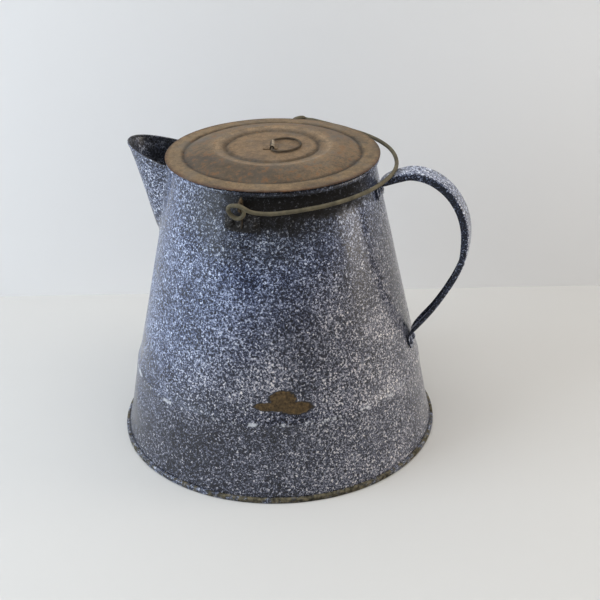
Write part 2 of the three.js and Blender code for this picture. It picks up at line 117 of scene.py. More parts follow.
EAR_SHEET = 1.0
EAR_PLATE_Z = (218.5, 232.5)
EAR_PLATE_HALF_WIDTH = 14
EAR_CORNER_TRIM = 2.2
FIN_THICKNESS = 1.6
EAR_HOLE = (93, 240.5)
EAR_HOLE_RADIUS = 3.05
LUG_RADIUS = 4.7
EYE_RADIUS = 5.5
EYE_LIFT = 2.8
EYE_SHIFT_X = -2.6
EYE_RISE = 4.6
MAIN_WIRE_Y = 99.8
BAIL_WIRE_RADIUS = 1.65

LID_SHEET = 0.8
BRIM_Z = 252.2
LID_FACE_Z = 257.1
RING_PLACE = (0.6, -2.4)
RING_TURN = math.radians(14)
RING_WIRE_RADIUS = 0.9
RING_HEIGHT = 1.35
CLIP_WIDTH = 14
CLIP_SHEET = 0.6
CLIP_FEET_X = (-7.5, 4.5)

RIVET_HEAD_RADIUS = 3.3
RIVET_SHANK_RADIUS = 1.8
RIVET_TAIL_RADIUS = 2.9
TOP_TAB_RIVET_Y = 4
TOP_TAB_RIVET_Z = 224.5
TOP_TAB_STACK = 1.56
LOW_TAB_RIVET_Y = 5
LOW_TAB_RIVET_Z = 91.5
LOW_TAB_STACK = 1.76
EAR_RIVET_X = 9
EAR_RIVET_Z = 224.5
EAR_STACK = 1.32


# ---- Numbers and curves ----


def lerp(a, b, t):
    return a + (b - a) * t


def smoothstep(value, start, end):
    t = np.clip((value - start) / (end - start), 0, 1)
    return t * t * (3 - 2 * t)


def smooth(points, per_span):
    """Centripetal Catmull-Rom curve through points of any dimension, as an array of points."""
    p = np.array(points, float)
    p = np.vstack([2 * p[0] - p[1], p, 2 * p[-1] - p[-2]])
    out = []
    for a, b, c, d in zip(p, p[1:], p[2:], p[3:]):
        t0 = 0.0
        t1 = t0 + max(np.linalg.norm(b - a), 1e-6) ** 0.5
        t2 = t1 + max(np.linalg.norm(c - b), 1e-6) ** 0.5
        t3 = t2 + max(np.linalg.norm(d - c), 1e-6) ** 0.5
        for t in np.linspace(t1, t2, per_span, endpoint=False):
            ab = lerp(a, b, (t - t0) / (t1 - t0))
            bc = lerp(b, c, (t - t1) / (t2 - t1))
            cd = lerp(c, d, (t - t2) / (t3 - t2))
            abc = lerp(ab, bc, (t - t0) / (t2 - t0))
            bcd = lerp(bc, cd, (t - t1) / (t3 - t1))
            out.append(lerp(abc, bcd, (t - t1) / (t2 - t1)))
    out.append(p[-2])
    return np.array(out)


def arc(centre, radius, start, end, steps):
    """Points on a circle from start to end degrees."""
    turns = np.radians(np.linspace(start, end, steps + 1))
    return [(centre[0] + radius * math.cos(a), centre[1] + radius * math.sin(a)) for a in turns]


def lengths_along(path):
    """Distance gone along a path at each of its points."""
    return np.concatenate([[0], np.cumsum(np.linalg.norm(np.diff(path, axis=0), axis=1))])


def points_at(path, distances):
    """The points of a path that lie at these distances along it."""
    gone = lengths_along(path)
    return np.stack([np.interp(distances, gone, column) for column in path.T], axis=1)


def directions(path):
    """Unit vector along the path at each of its points."""
    ahead = np.gradient(path, axis=0)
    return ahead / np.linalg.norm(ahead, axis=1)[:, None]


def ripple(point, wavelength, seed):
    """Smooth noise from -1 to 1 at a point in millimetres."""
    return noise.noise(Vector(point) / wavelength + Vector((seed, 2.7 * seed, 0.4)))


# ---- Meshes ----


def added(name, data):
    """A new object in the scene."""
    made = bpy.data.objects.new(name, data)
    bpy.context.scene.collection.objects.link(made)
    return made


def worked_out(thing):
    """A thing's mesh, with its curve or its modifiers worked out."""
    bpy.context.view_layer.update()
    return bpy.data.meshes.new_from_object(thing.evaluated_get(bpy.context.evaluated_depsgraph_get()))


def make_piece(name, vertices, faces, crease):
    """A mesh object from points in millimetres, smooth apart from edges sharper than crease degrees."""
    mesh = bpy.data.meshes.new(name)
    mesh.from_pydata([tuple(float(c) * MM for c in v) for v in vertices], [], faces)
    return finish_piece(name, mesh, crease)


def finish_piece(name, mesh, crease):
    """An object from a mesh, its doubled points merged and its faces turned outwards."""
    bm = bmesh.new()
    bm.from_mesh(mesh)
    bmesh.ops.remove_doubles(bm, verts=bm.verts, dist=0.002 * MM)
    bmesh.ops.recalc_face_normals(bm, faces=bm.faces)
    bm.to_mesh(mesh)
    bm.free()
    mesh.shade_smooth()
    mesh.set_sharp_from_angle(angle=math.radians(crease))
    return added(name, mesh)


def grid_faces(rings, count, closed=False):
    """Quads between neighbouring rings of count points each, and from the last to the first if closed."""
    faces = []
    for r in range(rings if closed else rings - 1):
        a, b = r * count, (r + 1) % rings * count
        for i in range(count):
            j = (i + 1) % count
            faces.append((a + i, a + j, b + j, b + i))
    return faces


def revolve(name, outline, around=AROUND, crease=40, shape=None):
    """A closed outline of (radius, height) turned round Z; shape moves each finished point."""
    vertices = []
    for turn in np.linspace(0, 2 * math.pi, around, endpoint=False):
        c, s = math.cos(turn), math.sin(turn)
        vertices += [(r * c, r * s, z) for r, z in outline]
    if shape:
        vertices = [shape(v) for v in vertices]
    return make_piece(name, vertices, grid_faces(around, len(outline), closed=True), crease)


def loft(name, rings, crease=40):
    """A closed skin over rings of equal length, with flat ends."""
    count = len(rings[0])
    faces = grid_faces(len(rings), count)
    faces.append(tuple(range(count)))
    faces.append(tuple(range((len(rings) - 1) * count, len(rings) * count)))
    return make_piece(name, [p for ring in rings for p in ring], faces, crease)


def wire(name, path, radius, sides=16):
    """A round wire along a path, its ends rounded off."""
    gone = lengths_along(path)
    along = directions(path)
    across = np.cross(along[0], (0.3, 0.2, 0.9))
    rings = []
    for centre, ahead, at in zip(path, along, gone):
        across = across - ahead * across.dot(ahead)
        across /= np.linalg.norm(across)
        beside = np.cross(ahead, across)
        to_end = min(at, gone[-1] - at)
        size = radius * math.sqrt(max(1 - (1 - min(to_end / radius, 1)) ** 2, 0.04))
        rings.append(
            [
                centre + size * (math.cos(a) * across + math.sin(a) * beside)
                for a in np.linspace(0, 2 * math.pi, sides, endpoint=False)
            ]
        )
    return loft(name, rings, crease=70)


def even(path, step):
    """The same path with points a fixed step apart, and closer at its two ends."""
    length = lengths_along(path)[-1]
    ends = np.array([0.05, 0.15, 0.3, 0.55]) * step
    inner = np.linspace(step, length - step, int(length / step))
    return points_at(path, np.concatenate([[0], ends, inner, length - ends[::-1], [length]]))


def flat_piece(name, outlines, thickness, bevel, place):
    """Sheet with rounded edges, cut to closed outlines: the first is its outside, the rest are holes."""
    curve = bpy.data.curves.new(name, "CURVE")
    curve.dimensions = "2D"
    curve.fill_mode = "BOTH"
    curve.extrude = (thickness / 2 - bevel) * MM
    curve.bevel_depth = bevel * MM
    curve.bevel_resolution = 3
    curve.offset = -bevel * MM
    for outline in outlines:
        spline = curve.splines.new("POLY")
        spline.points.add(len(outline) - 1)
        spline.use_cyclic_u = True
        for point, (x, y) in zip(spline.points, outline):
            point.co = (x * MM, y * MM, 0, 1)
    drawn = added(name + "_outline", curve)
    mesh = worked_out(drawn)
    bpy.data.objects.remove(drawn)
    mesh.transform(place)
    return finish_piece(name, mesh, crease=30)


def joined(name, pieces):
    """Several pieces as one object."""
    bm = bmesh.new()
    for piece in pieces:
        bm.from_mesh(piece.data)
        bpy.data.objects.remove(piece)
    mesh = bpy.data.meshes.new(name)
    bm.to_mesh(mesh)
    bm.free()
    return added(name, mesh)


def cut(piece, cutters):
    """Takes the cutters out of a piece for good."""
    tool = joined("cutters", cutters)
    modifier = piece.modifiers.new("holes", "BOOLEAN")
    modifier.operation = "DIFFERENCE"
    modifier.solver = "EXACT"
    modifier.object = tool
    mesh = worked_out(piece)
    piece.modifiers.clear()
    piece.data = mesh
    bpy.data.objects.remove(tool)


def dress(piece, material, body, slot, *nodes):
    """Gives a piece its material and its body, and hides the CAD nodes that it stands for. The slot is
    not used.
    """
    piece.data.materials.clear()
    piece.data.materials.append(material)
    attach(piece, body)
    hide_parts(*nodes)


# ---- Shader helpers ----

PLAIN_SUMS = {"ADD": operator.add, "SUBTRACT": operator.sub, "MULTIPLY": operator.mul}


class Shader:
    """One material's node tree, with short calls for the nodes that it uses."""

    def __init__(self, name):
        self.material = bpy.data.materials.new(name)
        self.material.use_nodes = True
        self.tree = self.material.node_tree
        self.tree.nodes.clear()
        self.surface = self.add("ShaderNodeBsdfPrincipled")
        output = self.add("ShaderNodeOutputMaterial")
        self.tree.links.new(self.surface.outputs["BSDF"], output.inputs["Surface"])
        self.where = self.add("ShaderNodeTexCoord").outputs["Object"]

    def add(self, kind, inputs=None, **settings):
        """A node with its settings made and its inputs filled or linked."""
        made = self.tree.nodes.new(kind)
        for key, value in settings.items():
            setattr(made, key, value)
        for key, value in (inputs or {}).items():
            self.put(made.inputs[key], value)
        return made

    def put(self, socket, value):
        if isinstance(value, bpy.types.NodeSocket):
            self.tree.links.new(value, socket)
        else:
            socket.default_value = value

    def set(self, **values):
        """Fills or links inputs of the surface; _ stands for a space."""
        for key, value in values.items():
            self.put(self.surface.inputs[key.replace("_", " ")], value)

    def math(self, operation, a, b=0.0):
        """One sum of two values. Two plain numbers give a plain number, without a node."""
        if not any(isinstance(value, bpy.types.NodeSocket) for value in (a, b)):
            return PLAIN_SUMS[operation](a, b)
        return self.add("ShaderNodeMath", {0: a, 1: b}, operation=operation).outputs[0]

    def plus(self, a, b):
        return self.math("ADD", a, b)

    def minus(self, a, b):
        return self.math("SUBTRACT", a, b)

    def times(self, a, b):
        return self.math("MULTIPLY", a, b)

    def noise(self, size, detail=2.0, roughness=0.5, distortion=0.0):
        """Noise from 0 to 1 whose features are about size millimetres across."""
        inputs = {
            "Vector": self.where,
            "Scale": 1 / (size * MM),
            "Detail": detail,
            "Roughness": roughness,
            "Distortion": distortion,
        }
        return self.add("ShaderNodeTexNoise", inputs).outputs["Fac"]

    def ramp(self, factor, stops):
        """Colour ramp; each stop is (place, colour) with a grey or an (r, g, b) colour."""
        made = self.add("ShaderNodeValToRGB", {"Fac": factor})
        elements = made.color_ramp.elements
        while len(elements) < len(stops):
            elements.new(0.5)
        for element, (place, colour) in zip(elements, stops):
            element.position = place
            rgb = colour if isinstance(colour, tuple) else (colour,) * 3
            element.color = (*rgb, 1)
        return made.outputs["Color"]

    def fade(self, value, start, end, low=0.0, high=1.0):
        """low at start and high at end, smooth in between."""
        inputs = {"Value": value, "From Min": start, "From Max": end, "To Min": low, "To Max": high}
        made = self.add("ShaderNodeMapRange", inputs, interpolation_type="SMOOTHSTEP")
        return made.outputs["Result"]

    def mix(self, factor, a, b, blend="MIX"):
        made = self.add("ShaderNodeMix", data_type="RGBA", blend_type=blend)
        self.put(made.inputs["Factor"], factor)
        self.put(made.inputs["A"], a if isinstance(a, bpy.types.NodeSocket) else (*a, 1))
        self.put(made.inputs["B"], b if isinstance(b, bpy.types.NodeSocket) else (*b, 1))
        return made.outputs["Result"]

    def axes(self):
        made = self.add("ShaderNodeSeparateXYZ", {"Vector": self.where})
        return made.outputs["X"], made.outputs["Y"], made.outputs["Z"]

    def bump(self, *layers):
        """Bump from (height, strength, distance in millimetres) layers, one on another."""
        normal = None
        for height, strength, distance in layers:
            inputs = {"Height": height, "Strength": strength, "Distance": distance * MM}
            if normal:
                inputs["Normal"] = normal
            normal = self.add("ShaderNodeBump", inputs).outputs["Normal"]
        self.put(self.surface.inputs["Normal"], normal)


# ---- Materials ----

# Colours of soot, also used for painted shade: the lid's shadow below the rim and the ears' dark plates.
SOOT_AND_SHADE_BLACK = (0.012, 0.010, 0.007)
SOOT_AND_SHADE_TINT = (1.0, 0.86, 0.64)


def speckle(shader):
    """Graniteware pattern, thin pale flecks in clouds of more and fewer; and the clouds alone."""
    flecks = shader.noise(1.6, 2.0, 0.6, 0.9)
    clouds = shader.noise(34, 4.0, 0.6)
    lean = shader.times(shader.minus(clouds, 0.5), 0.20)
    return shader.plus(flecks, lean), clouds


def enamel_colour(shader, value):
    """Dark blue ground at low values, pale flecks at high ones."""
    return shader.ramp(
        value,
        [
            (0.39, (0.007, 0.008, 0.014)),
            (0.475, (0.029, 0.036, 0.066)),
            (0.54, (0.112, 0.132, 0.204)),
            (0.60, (0.320, 0.352, 0.456)),
            (0.69, (0.680, 0.700, 0.750)),
        ],
    )


def rust_colour(shader, size):
    """Brown rust with paler and darker grains of about size millimetres."""
    return shader.ramp(
        shader.noise(size, 4, 0.7),
        [(0.3, (0.030, 0.021, 0.013)), (0.5, (0.078, 0.053, 0.028)), (0.68, (0.15, 0.095, 0.042))],
    )


def enamel_gloss(shader, clouds, worn):
    """Glossy enamel, dull where worn is 1."""
    gloss = shader.fade(clouds, -0.1, 1.5)
    shader.set(
        Roughness=shader.math("MAXIMUM", gloss, shader.times(worn, 0.85)),
        Specular_IOR_Level=shader.minus(0.4, shader.times(worn, 0.28)),
        Coat_Weight=shader.times(shader.minus(1.0, worn), 0.22),
        Coat_Roughness=0.22,
    )


def enamel(shader, colour, value, clouds, worn, *bumps):
    """The finished material: its colour, its gloss, and a bump of broad waves, flecks and bumps."""
    shader.set(Base_Color=colour)
    enamel_gloss(shader, clouds, worn)
    shader.bump((shader.noise(7, 2), 0.25, 0.25), (value, 0.15, 0.08), *bumps)
    return shader.material


def blob(shader, u, v, centre, size):
    """Squared distance from an ellipse's middle, 1 on its edge; centre and size are in millimetres."""
    du = shader.math("DIVIDE", shader.minus(u, centre[0] * MM), size[0] * MM)
    dv = shader.math("DIVIDE", shader.minus(v, centre[1] * MM), size[1] * MM)
    return shader.plus(shader.times(du, du), shader.times(dv, dv))


def plus_noise(shader, value, size, amount):
    """The value with its edges made ragged."""
    wander = shader.times(shader.minus(shader.noise(size, 3), 0.5), amount)
    return shader.plus(value, wander)


def chip_masks(shader, x, y, z):
    """The chipped patch low on the front, seen from straight in front: alone, and with its dark edge."""
    angle = math.radians(-72.2)
    c, s = math.cos(angle), math.sin(angle)
    across = shader.minus(shader.times(y, c), shader.times(x, s))
    facing = shader.plus(shader.times(x, c), shader.times(y, s))
    shapes = [
        ((-0.8, 87), (10, 6.4)),
        ((-13.5, 80.4), (10, 3.2)),
        ((9.5, 79), (12.5, 5)),
        ((-1.5, 81), (15, 4)),
    ]
    inside = None
    for centre, size in shapes:
        one = blob(shader, across, z, centre, size)
        inside = one if inside is None else shader.math("MINIMUM", inside, one)
    ragged = plus_noise(shader, inside, 3, 1.0)
    front = shader.fade(facing, 0.05, 0.06)
    chip = shader.times(shader.fade(ragged, 1.08, 0.92), front)
    around = shader.times(shader.fade(ragged, 1.40, 1.15), front)
    return chip, around


def body_enamel():
    """The pot's enamel: soot with the lid's painted shadow by the ear, painted shade low and on the
    right, a painted tint of the lights, painted glints with scratches on the shoulder, a chip at the
    front.
    """
    shader = Shader("body_enamel")
    value, clouds = speckle(shader)
    x, y, z = shader.axes()

    # Soot by the front ear, and painted shade: the lid's shadow on the front, in the band below the rim.
    front = shader.fade(y, 0.01, -0.045)
    near_ear = blob(shader, x, z, (34, 240), (72, 13))
    below_ear = shader.plus(blob(shader, x, z, (24, 229), (42, 15)), 0.9)
    soot_and_shade = shader.math("MINIMUM", near_ear, below_ear)
    soot_and_shade = shader.fade(plus_noise(shader, soot_and_shade, 5, 2.4), 2.4, 0.4)
    towards_handle = shader.fade(plus_noise(shader, x, 6, 0.012), -0.018, 0.006, 0.30, 1.0)
    below_rim = shader.fade(z, 0.2462, 0.2440, 0.5, 1.0)
    for share in (front, towards_handle, below_rim):
        soot_and_shade = shader.times(soot_and_shade, share)
    # Painted shade: darker towards the bottom, on the band below the shoulder, less towards the handle.
    low_shade = shader.fade(plus_noise(shader, z, 26, 0.05), 0.095, 0.045)
    low_shade = shader.times(low_shade, shader.fade(x, 0.08, 0.0))
    # Smoke with painted shade below the rim on the front; it warms and darkens the colour.
    smoke_and_shade = plus_noise(shader, blob(shader, x, z, (8, 224), (56, 32)), 12, 1.2)
    smoke_and_shade = shader.times(shader.fade(smoke_and_shade, 1.7, 0.3), front)
    # Painted shade on the right side, at mid height.
    right = plus_noise(shader, blob(shader, x, z, (56, 150), (36, 80)), 20, 1.0)
    right = shader.fade(right, 1.5, 0.3)
    less = 0.002
    for amount, strength in ((soot_and_shade, 0.115), (low_shade, 0.06), (smoke_and_shade, 0.038), (right, 0.02)):
        less = shader.plus(shader.times(amount, strength), less)
    value = shader.minus(value, less)

    chip, around = chip_masks(shader, x, y, z)
    # Painted glints along the shoulder's ridge, with light scratches.
    from_ridge = shader.math("ABSOLUTE", shader.minus(z, SHOULDER_RIDGE_Z * MM))
    ridge = shader.fade(from_ridge, 0.0020, 0.0008)
    ridge_glints_and_scratches = shader.times(ridge, shader.fade(shader.noise(16, 5, 0.8), 0.51, 0.60))
    # Painted light: the lights' colour, cool on the left and higher up, warm to the right and low down.
    side = shader.plus(x, shader.times(shader.minus(0.16, z), 1.2))
    painted_light_tint = shader.mix(shader.fade(side, -0.03, 0.10), (0.93, 0.99, 1.10), (1.06, 0.955, 0.835))
    colour = shader.mix(1.0, enamel_colour(shader, value), painted_light_tint, "MULTIPLY")
    colour = shader.mix(shader.times(ridge_glints_and_scratches, 0.75), colour, (0.62, 0.63, 0.66))
    # Smoke and painted shade below the rim.
    colour = shader.mix(smoke_and_shade, colour, (1.0, 0.94, 0.80), "MULTIPLY")
    # Soot with the lid's painted shadow: warmer, then darker.
    colour = shader.mix(soot_and_shade, colour, SOOT_AND_SHADE_TINT, "MULTIPLY")
    colour = shader.mix(shader.times(soot_and_shade, 0.55), colour, SOOT_AND_SHADE_BLACK)
    colour = shader.mix(around, colour, (0.013, 0.010, 0.008))
    colour = shader.mix(chip, colour, rust_colour(shader, 2.5))
    worn = shader.math("MAXIMUM", chip, soot_and_shade)
    return enamel(shader, colour, value, clouds, worn, (shader.minus(1.0, chip), 0.8, 0.5))


def spout_enamel():
    """Clean enamel of the spout's outside."""
    shader = Shader("spout_enamel")
    value, clouds = speckle(shader)
    # Painted shade: a little darker than the pot's enamel.
    value = shader.minus(value, 0.014)
    return enamel(shader, enamel_colour(shader, value), value, clouds, 0.0)


def stained_enamel():
    """Enamel inside the spout, browned by coffee."""
    shader = Shader("stained_enamel")
    value, clouds = speckle(shader)
    stain = shader.times(shader.fade(shader.noise(11, 3, 0.6), 0.1, 0.6), 0.85)
    colour = shader.mix(stain, enamel_colour(shader, value), (0.012, 0.011, 0.009))
    return enamel(shader, colour, value, clouds, 0.3)


def handle_enamel():
    """The strap's enamel: painted lighter on its outer face, with painted shade on the sides of its
    channel.
    """
    shader = Shader("handle_enamel")
    value, clouds = speckle(shader)
    # Painted shade on the sides of the channel, found from which way the surface faces, and more in the
    # lower half.
    normal = shader.add("ShaderNodeTexCoord").outputs["Normal"]
    turned = shader.add("ShaderNodeSeparateXYZ", {"Vector": normal}).outputs["Y"]
    sideways = plus_noise(shader, shader.math("ABSOLUTE", turned), 2.5, 0.5)
    lower_half_shade = shader.fade(shader.axes()[2], 0.19, 0.15, 0.0, 0.35)
    flange = shader.fade(shader.plus(sideways, lower_half_shade), 0.60, 0.95)
    # The outer face is painted lighter and the channel's sides painted darker.
    shift = shader.minus(0.027, shader.times(flange, 0.147))
    value = shader.plus(value, shift)
    return enamel(shader, enamel_colour(shader, value), value, clouds, shader.times(flange, 0.6))


def worn_seam():
    """Enamel worn through to rusty steel along the bottom seam."""
    shader = Shader("worn_seam")
    value, clouds = speckle(shader)
    x, y, _ = shader.axes()
    more = shader.times(shader.minus(x, y), 0.35)
    bare = shader.plus(shader.noise(10, 4, 0.65), more)
    bare = shader.fade(plus_noise(shader, bare, 1.8, 0.25), 0.44, 0.60)
    olive = shader.ramp(
        shader.noise(3, 3),
        [(0.35, (0.022, 0.020, 0.014)), (0.5, (0.075, 0.066, 0.045)), (0.68, (0.17, 0.145, 0.092))],
    )
    dark_enamel = enamel_colour(shader, shader.minus(value, 0.03))
    shader.set(Base_Color=shader.mix(bare, dark_enamel, olive))
    enamel_gloss(shader, clouds, bare)
    shader.bump((shader.noise(2.2, 4), 0.5, 0.15), (bare, -0.4, 0.15))
    return shader.material


def ear_steel():
    """The ears: sooty enamel with painted shade on the plate, brown bare metal on the fin that stands out
    from it.
    """
    shader = Shader("ear_steel")
    value, clouds = speckle(shader)
    x, y, z = shader.axes()
    wall = shader.plus(shader.times(z, TAPER), shader.math("ABSOLUTE", y))
    reach = (CONE_TOP_RADIUS + TAPER * CONE_TOP_Z + 1.6) * MM
    narrow = shader.math("LESS_THAN", shader.math("ABSOLUTE", x), 1.5 * MM)
    fin = shader.times(shader.math("GREATER_THAN", wall, reach), narrow)
    # The plate's enamel darkened as soot with painted shade.
    dark = enamel_colour(shader, shader.minus(value, 0.07))
    dark = shader.mix(0.68, shader.mix(1.0, dark, SOOT_AND_SHADE_TINT, "MULTIPLY"), SOOT_AND_SHADE_BLACK)
    patches = shader.fade(shader.noise(5, 4, 0.7), 0.42, 0.60)
    brown = shader.mix(patches, (0.032, 0.025, 0.018), rust_colour(shader, 1.5))
    shader.set(Base_Color=shader.mix(fin, dark, brown), Metallic=0.1)
    enamel_gloss(shader, clouds, 0.8)
    shader.bump((shader.noise(2, 4), 0.5, 0.12))
    return shader.material


def aged_tin():
    """Dull brown tin plate in rings, with a painted highlight on the crease, mottled all over, with rust
    on the slope and painted shade on its front.
    """
    shader = Shader("aged_tin")
    x, y, _ = shader.axes()
    around = shader.plus(shader.times(x, x), shader.times(y, y))
    radius = shader.math("DIVIDE", shader.math("SQRT", around), LID_RADIUS * MM)
    zone = plus_noise(shader, radius, 16, 0.05)
    # The bright ring at 0.525 is a painted highlight on the crease.
    base = shader.ramp(
        zone,
        [
            (0.37, (0.285, 0.188, 0.104)),
            (0.425, (0.110, 0.074, 0.042)),
            (0.47, (0.225, 0.152, 0.087)),
            (0.525, (0.385, 0.265, 0.155)),
            (0.58, (0.290, 0.200, 0.117)),
            (0.64, (0.240, 0.168, 0.100)),
            (0.79, (0.245, 0.169, 0.098)),
            (0.825, (0.068, 0.045, 0.025)),
            (0.86, (0.270, 0.185, 0.101)),
            (0.96, (0.285, 0.192, 0.103)),
            (1.00, (0.120, 0.062, 0.034)),
        ],
    )
    stains = shader.noise(22, 5, 0.7)
    mottle = shader.noise(5, 4, 0.75)
    grain = shader.noise(1.3, 3, 0.7)
    layers = (
        (0.75, stains, [(0.34, 0.40), (0.5, 0.92), (0.66, 1.0)]),
        (0.65, mottle, [(0.38, 0.40), (0.60, 1.04)]),
        (0.60, grain, [(0.3, 0.35), (0.7, 1.0)]),
    )
    for strength, pattern, greys in layers:
        base = shader.mix(strength, base, shader.ramp(pattern, greys), "MULTIPLY")
    grey = shader.fade(shader.noise(26, 4, 0.65), 0.50, 0.66)
    base = shader.mix(shader.times(grey, 0.45), base, (0.120, 0.105, 0.085))
    # Painted shade on the front of the slope.
    slope = shader.times(shader.fade(radius, 0.50, 0.58), shader.fade(radius, 0.86, 0.78))
    front_side = shader.plus(y, shader.times(x, 0.35))
    front = shader.fade(plus_noise(shader, front_side, 20, 0.03), -0.018, -0.060)
    soot_and_shade = shader.times(shader.times(slope, front), 0.58)
    base = shader.mix(soot_and_shade, base, (0.035, 0.028, 0.021))
    spots = shader.plus(shader.times(slope, 0.07), mottle)
    spots = shader.fade(spots, 0.59, 0.68)
    rust = shader.mix(shader.noise(9), (0.215, 0.092, 0.030), (0.12, 0.058, 0.022))
    base = shader.mix(shader.times(spots, 0.60), base, rust)
    shader.set(
        Base_Color=base,
        Metallic=0.2,
        Roughness=shader.fade(stains, -0.6, 1.2),
        Specular_IOR_Level=0.35,
    )
    shader.bump((stains, 0.4, 0.8), (mottle, 0.35, 0.15), (grain, 0.35, 0.06))
    return shader.material


def highlight_tin():
    """Tin plate made pale: a painted highlight on the clip's arch."""
    shader = Shader("highlight_tin")
    stains = shader.noise(2.5, 4, 0.7)
    colour = shader.ramp(
        stains,
        [(0.35, (0.11, 0.080, 0.050)), (0.5, (0.25, 0.19, 0.125)), (0.65, (0.36, 0.29, 0.20))],
    )
    shader.set(Base_Color=colour, Metallic=0.3, Roughness=shader.fade(stains, -0.4, 1.2))
    shader.bump((stains, 0.4, 0.08))
    return shader.material


def dull_wire(name, pale, dark):
    """Bare wire with tarnish from pale to dark."""
    shader = Shader(name)
    stains = shader.noise(7, 4, 0.65)
    middle = tuple((a + b) / 2 for a, b in zip(pale, dark))
    shader.set(
        Base_Color=shader.ramp(stains, [(0.34, dark), (0.52, middle), (0.70, pale)]),
        Metallic=0.45,
        Roughness=shader.fade(stains, -0.7, 1.1),
    )
    shader.bump((shader.noise(1.2, 3), 0.35, 0.08))
    return shader.material


# ---- Pot body ----


def cone_radius(z):
    """Outer radius of the pot's cone at a height."""
    return CONE_TOP_RADIUS + TAPER * (CONE_TOP_Z - z)


def sheet_waves(point):
    """Small dents and waves of old sheet metal, always inwards."""
    x, y, z = point
    depth = 0.22 * (1 + ripple(point, 46, 3.1)) + 0.1 * (1 + ripple(point, 19, 8.2))
    depth *= float(smoothstep(z, 4, 20) * (1 - smoothstep(z, 225, 244)))
    shrink = 1 - depth / math.hypot(x, y)
    return x * shrink, y * shrink, z


def body_outline():
    """Closed outline of the sheet: foot flange, outside, curl round the rim wire, inside."""
    band = [(136.3, 5.4), (134.4, 13), (132.0, 25), (127.4, 50), (126.3, 57)]
    shoulder = [(125.5, 63.5), (124.9, 66.5), (123.6, 70), (122.0, 74.5)]
    cone = [(cone_radius(z), z) for z in (SHOULDER_TOP_Z, 86, 120, 160, 200, 236, CONE_TOP_Z)]
    outside = smooth(band + shoulder + cone, 7).tolist()
    inside = [(r - WALL, z) for r, z in outside[::2]][::-1]
    flange = [(135.6, 2), (137.9, 2), (137.9, 3), (136.4, 3)]
    curl = arc(CURL_CENTRE, CURL_RADIUS - CURL_SHEET, 195, -120, 16)
    curl += arc(CURL_CENTRE, CURL_RADIUS, -120, 195, 24)
    return flange + outside + curl + inside


def cone_place(angle, z):
    """Matrix of a frame on the cone's outer face, +Z leaving it squarely, for points in metres."""
    rise = math.atan(TAPER)
    out = Vector((math.cos(angle) * math.cos(rise), math.sin(angle) * math.cos(rise), math.sin(rise)))
    turn = Vector((0, 0, 1)).rotation_difference(out).to_matrix().to_4x4()
    place = Vector((cone_radius(z) * math.cos(angle), cone_radius(z) * math.sin(angle), z)) * MM
    return Matrix.Translation(place) @ turn


def strainer_cutters():
    """Rows of round cutters for the holes behind the spout."""
    circle = arc((0, 0), STRAINER_HOLE_RADIUS, 0, 345, 23)
    cutters = []
    for row in range(STRAINER_ROWS):
        z = STRAINER_LOW_Z + STRAINER_ROW_PITCH * row
        across = STRAINER_WIDEST_ROW - row % 2
        for i in range(across):
            angle = math.pi + (i - (across - 1) / 2) * STRAINER_HOLE_PITCH / cone_radius(z)
            rings = [[(x, y, depth) for x, y in circle] for depth in (-4, 4)]
            cutter = loft(f"cutter_{row}_{i}", rings)
            cutter.data.transform(cone_place(angle, z))
            cutters.append(cutter)
    return cutters


def build_body(material):
    """The pot's sheet with its strainer holes."""
    body = revolve("body", body_outline(), shape=sheet_waves)
    cut(body, strainer_cutters())
    dress(body, material, "pot", "speckled_enamel", "body_shell")


def build_bottom_pan(material):
    """Flat pan whose edge is folded up round the body's flange, with the small waves of a beaten seam."""
    inner, under_fold = BASE_RADIUS - FOLD_SHEET, SEAM_HEIGHT - FOLD_SHEET
    bend = 1.3
    outline = [(0.5, 0), (60, 0), (120, 0), (BASE_RADIUS - 1.6, 0)]
    outline += arc((BASE_RADIUS - PAN_SHEET, PAN_SHEET), PAN_SHEET, -70, 0, 5)
    outline += arc((BASE_RADIUS - bend, SEAM_HEIGHT - bend), bend, 0, 90, 8)
    outline += [(136.9, SEAM_HEIGHT - 0.1), (136.85, under_fold), (inner, under_fold)]
    outline += [(inner, PAN_SHEET), (100, PAN_SHEET), (0.5, PAN_SHEET)]

    def beaten(point):
        x, y, z = point
        radius = math.hypot(x, y)
        if radius < BASE_RADIUS - 1.5 or z < 0.2:
            return point
        shrink = 1 - (0.18 + 0.18 * ripple(point, 11, 5.0)) / radius
        top = float(smoothstep(z, 3, SEAM_HEIGHT))
        return x * shrink, y * shrink, z - top * (0.3 + 0.3 * ripple(point, 16, 9.0))

    pan = revolve("bottom_seam", outline, shape=beaten)
    dress(pan, material, "pot", "worn_steel", "bottom_pan")


# ---- Spout ----


def spout_half_width(z):
    """Half the spout's width along the pot: widest in the middle, running out to a point at its foot."""
    if z > SPOUT_MIDDLE_Z:
        reach, narrowing = 45, 1 - (SPOUT_TOP_HALF_WIDTH / SPOUT_HALF_WIDTH) ** 2
    else:
        reach, narrowing = SPOUT_MIDDLE_Z - SPOUT_FOOT_Z + 0.6, 1
    away = (z - SPOUT_MIDDLE_Z) / reach
    return SPOUT_HALF_WIDTH * math.sqrt(max(1 - narrowing * away * away, 0.0004))


def wall_radius(z):
    """Outer radius of the pot where the spout joins it: the cone, then the rim's bead."""
    bead = CURL_CENTRE[0] + CURL_RADIUS
    return float(lerp(cone_radius(z), bead, smoothstep(z, 241, 245.5)))


